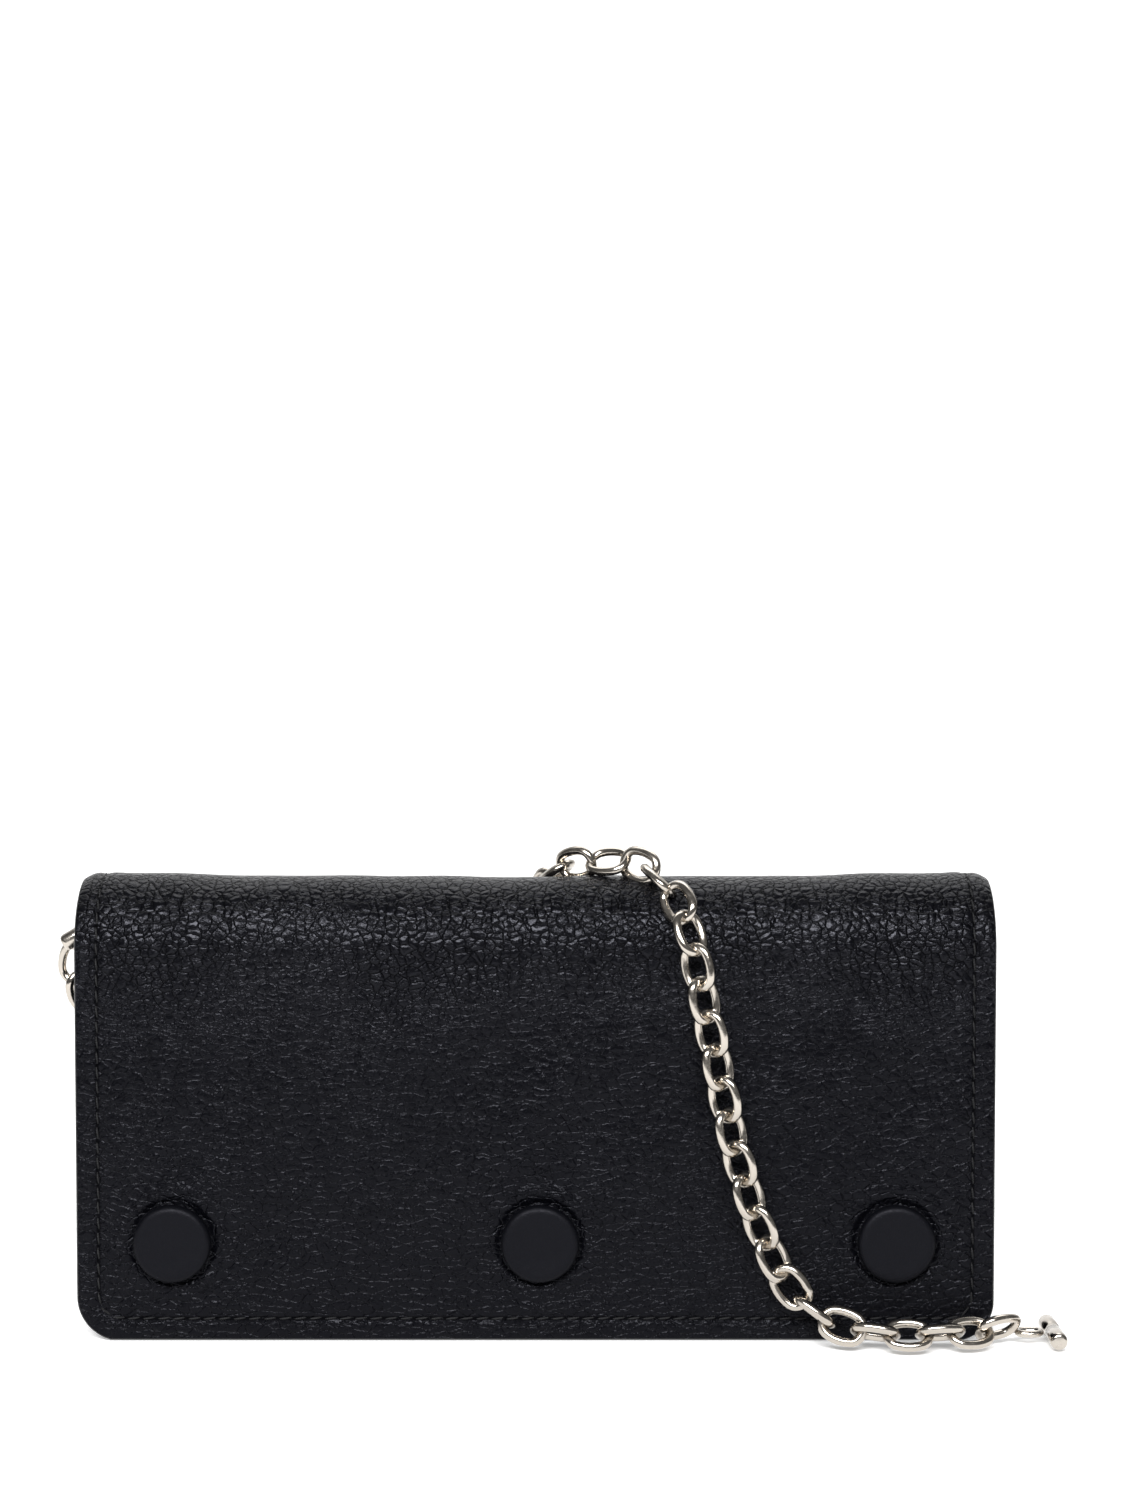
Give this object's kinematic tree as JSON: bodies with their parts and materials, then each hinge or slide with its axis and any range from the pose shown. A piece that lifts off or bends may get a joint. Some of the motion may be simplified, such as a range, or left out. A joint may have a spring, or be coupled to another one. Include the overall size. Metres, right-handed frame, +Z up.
{
  "type": "chain wallet",
  "caption": "Long black leather flap wallet that closes with covered snaps, with gusseted pockets, a zipped coin pocket and a metal chain strap with toggle ends.",
  "frame": {"origin": "middle of the bottom, on the surface the wallet stands on", "axes": "+X along the width, -Y out of the flap that covers the front, +Z up from the bottom edge to the fold"},
  "size_m": [0.2238, 0.0811, 0.1088],
  "materials": {
    "pebbled_leather": "satin",
    "smooth_leather": "satin",
    "lining": "matte",
    "zip_tape": "matte",
    "nickel": "polished",
    "chain_envelope": "satin"
  },
  "bodies": {
    "case": {"back_panel": "pebbled_leather", "back_lining": "lining", "base_panel": "pebbled_leather", "card_slot_left_1": "smooth_leather", "card_slot_left_2": "smooth_leather", "card_slot_left_3": "smooth_leather", "card_slot_left_4": "smooth_leather", "card_slot_right_1": "smooth_leather", "card_slot_right_2": "smooth_leather", "card_slot_right_3": "smooth_leather", "card_slot_right_4": "smooth_leather", "gusset_left": "smooth_leather", "gusset_right": "smooth_leather", "side_loop_left": "smooth_leather", "side_loop_right": "smooth_leather", "chain_drop": "chain_envelope", "chain_hank": "chain_envelope", "hank_tie": "smooth_leather", "chain_rise": "chain_envelope"},
    "fold_back": {"fold_leather_back": "pebbled_leather", "fold_lining_back": "lining", "chain_over": "chain_envelope"},
    "fold_front": {"fold_leather_front": "pebbled_leather", "fold_lining_front": "lining"},
    "flap": {"flap_panel": "pebbled_leather", "flap_lining": "lining", "snap_cap_left": "smooth_leather", "snap_cap_centre": "smooth_leather", "snap_cap_right": "smooth_leather", "snap_socket_left": "nickel", "snap_socket_centre": "nickel", "snap_socket_right": "nickel", "chain_front": "chain_envelope"},
    "front_wall": {"front_panel": "pebbled_leather", "front_panel_lining": "lining", "snap_stud_left": "nickel", "snap_stud_centre": "nickel", "snap_stud_right": "nickel"},
    "coin_pocket": {"coin_panel_front": "smooth_leather", "coin_panel_back": "smooth_leather", "coin_base": "lining", "zip_tape_front": "zip_tape", "zip_tape_back": "zip_tape", "zip_teeth_front": "nickel", "zip_teeth_back": "nickel", "zip_stop_left": "nickel", "zip_stop_right": "nickel"},
    "zip_slider": {"zip_slider": "nickel"},
    "zip_pull": {"zip_pull": "nickel"},
    "toggle_left": {"toggle_bar_left": "nickel", "toggle_link_left": "nickel"},
    "toggle_right": {"toggle_bar_right": "nickel", "toggle_link_right": "nickel"}
  },
  "joints": [
    {"name": "fold_back_bend", "type": "hinge", "parent": "case", "child": "fold_back", "pos_m": [0, 0.015, 0.085], "axis": [-1, 0, 0], "range_deg": [0, 45], "deforming": ["chain_over"]},
    {"name": "fold_crest_bend", "type": "hinge", "parent": "fold_back", "child": "fold_front", "pos_m": [0, 0, 0.1], "axis": [-1, 0, 0], "range_deg": [0, 90], "deforming": ["chain_over"]},
    {"name": "flap_lift", "type": "hinge", "parent": "fold_front", "child": "flap", "pos_m": [0, -0.015, 0.085], "axis": [-1, 0, 0], "range_deg": [0, 45], "deforming": ["chain_front"]},
    {"name": "front_wall_lean", "type": "hinge", "parent": "case", "child": "front_wall", "pos_m": [0, -0.009, 0.00135], "axis": [1, 0, 0], "range_deg": [0, 9], "deforming": ["gusset_left", "gusset_right"]},
    {"name": "coin_pocket_lean", "type": "hinge", "parent": "case", "child": "coin_pocket", "pos_m": [0, 0.0012, 0.00135], "axis": [1, 0, 0], "range_deg": [0, 4.5]},
    {"name": "zip_slide", "type": "slide", "parent": "coin_pocket", "child": "zip_slider", "axis": [-1, 0, 0], "range_m": [0, 0.145]},
    {"name": "zip_pull_swing", "type": "hinge", "parent": "zip_slider", "child": "zip_pull", "pos_m": [0.073, 0.0012, 0.0807], "axis": [0, 1, 0], "range_deg": [0, 160]},
    {"name": "toggle_left_turn", "type": "hinge", "parent": "case", "child": "toggle_left", "pos_m": [-0.098, 0.0036, 0.0882], "axis": [0, 1, 0], "range_deg": [-8, 12]},
    {"name": "toggle_right_turn", "type": "hinge", "parent": "flap", "child": "toggle_right", "pos_m": [0.1045, -0.0166, 0.0023], "axis": [0, 0, 1], "range_deg": [-25, 25]}
  ],
  "couplings": [
    {"joint": "fold_crest_bend", "follows": "fold_back_bend", "ratio": 2},
    {"joint": "flap_lift", "follows": "fold_back_bend", "ratio": 1},
    {"joint": "front_wall_lean", "follows": "fold_back_bend", "ratio": 0.2},
    {"joint": "coin_pocket_lean", "follows": "fold_back_bend", "ratio": 0.1}
  ]
}
